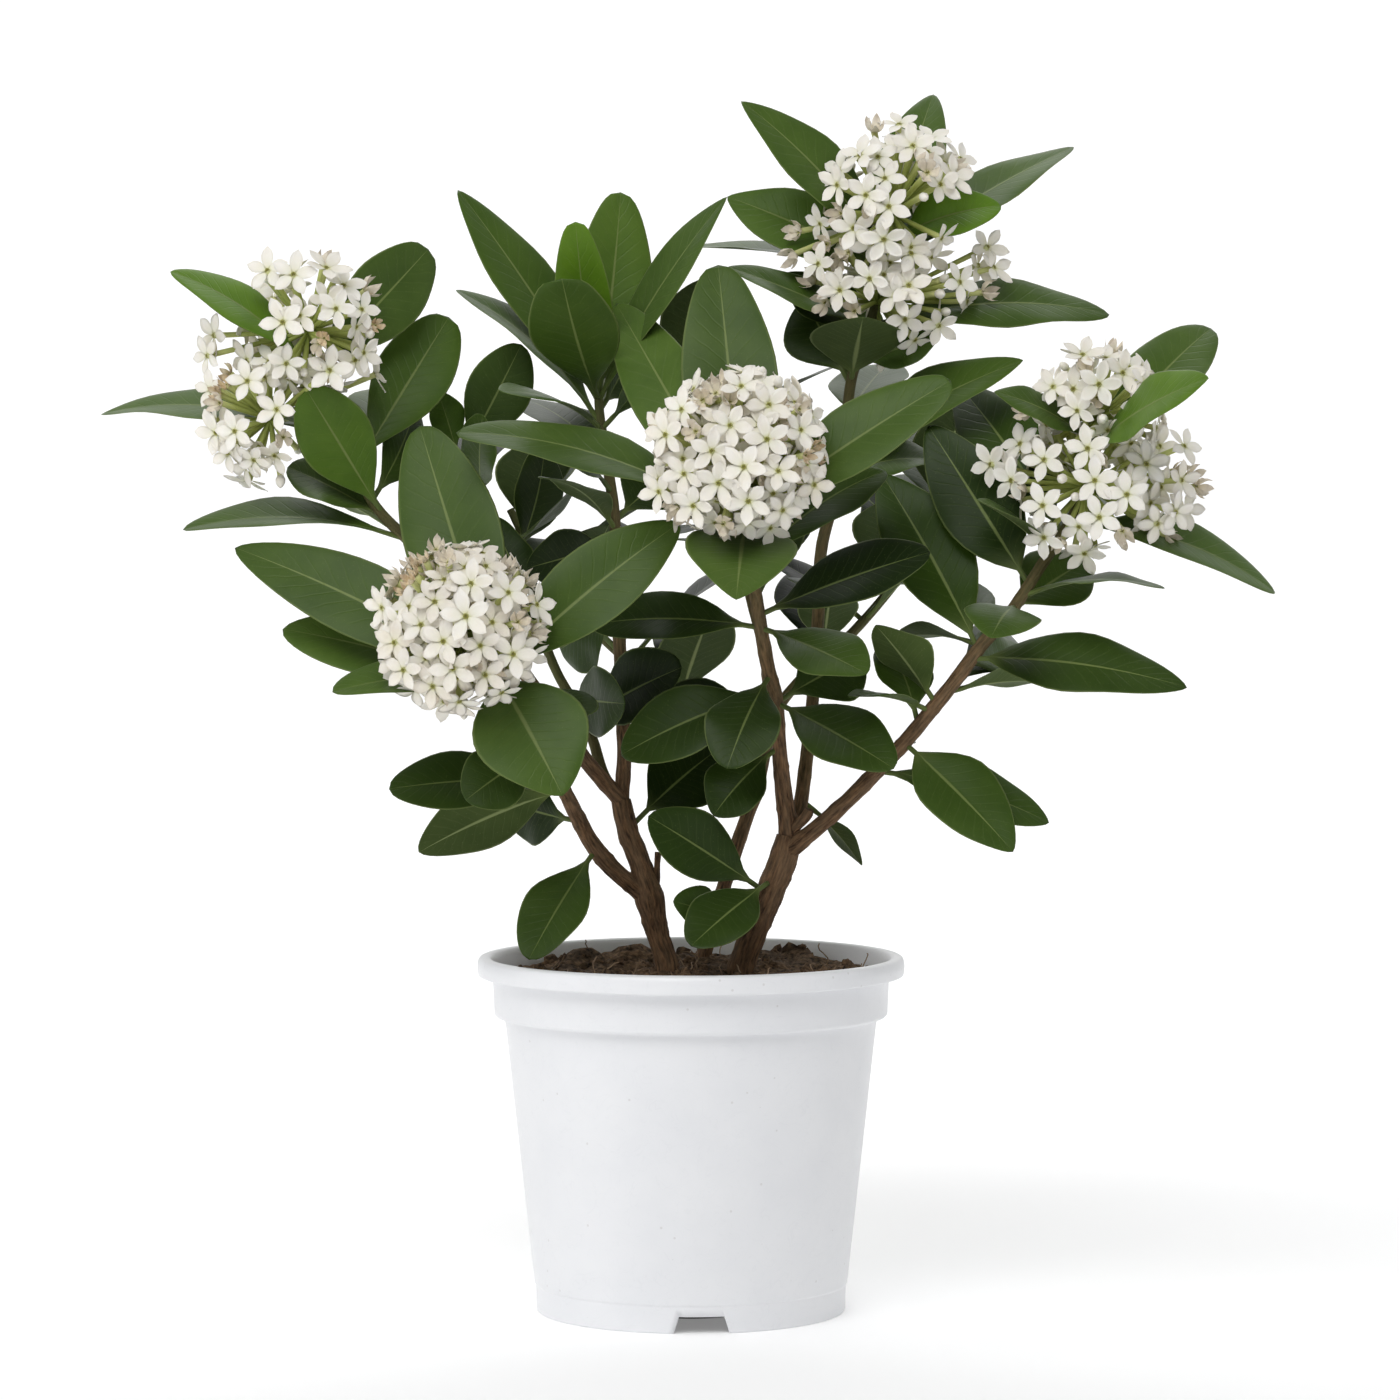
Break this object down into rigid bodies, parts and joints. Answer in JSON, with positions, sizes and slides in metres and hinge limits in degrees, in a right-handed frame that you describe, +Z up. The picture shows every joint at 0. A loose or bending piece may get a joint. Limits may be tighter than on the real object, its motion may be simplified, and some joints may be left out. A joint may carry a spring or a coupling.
{
  "type": "potted bushmans poison",
  "caption": "Flowering evergreen shrub with leathery leaves and round heads of white star flowers, planted in a round nursery pot.",
  "frame": {"origin": "centre of the pot's underside, on the ground", "axes": "+Z up along the pot's axis, -Y towards the viewer in front of the plant, +X to that viewer's right"},
  "size_m": [0.5213, 0.3514, 0.5437],
  "materials": {
    "pot_plastic": "satin white injection-moulded plastic with faint scuffs",
    "potting_soil": "dark moist potting soil with bits of bark and fine roots",
    "bark": "brown ridged bark",
    "leaf": "leathery dark green leaf with a satin sheen and a pale midrib",
    "petal": "soft matt white petal"
  },
  "bodies": {
    "root": {"pot": "pot_plastic", "soil": "potting_soil", "trunk_left": "bark", "trunk_right": "bark", "trunk_back": "bark", "stem_a": "leaf", "stem_b": "leaf", "stem_c": "leaf", "stem_d": "leaf", "stem_e": "leaf", "stem_mid_left": "leaf", "stem_top": "leaf", "stem_back": "leaf", "stem_back_left": "leaf", "stem_back_right": "leaf", "leaf_lower_front": "leaf", "leaf_lower_left": "leaf", "leaf_lower_right": "leaf", "leaf_lower_small": "leaf", "flowers_a_upper": "petal", "flowers_a_lower": "petal", "flowers_b": "petal", "flowers_c": "petal", "flowers_d_upper": "petal", "flowers_d_lower": "petal", "flowers_e_upper": "petal", "flowers_e_lower": "petal"}
  },
  "joints": []
}
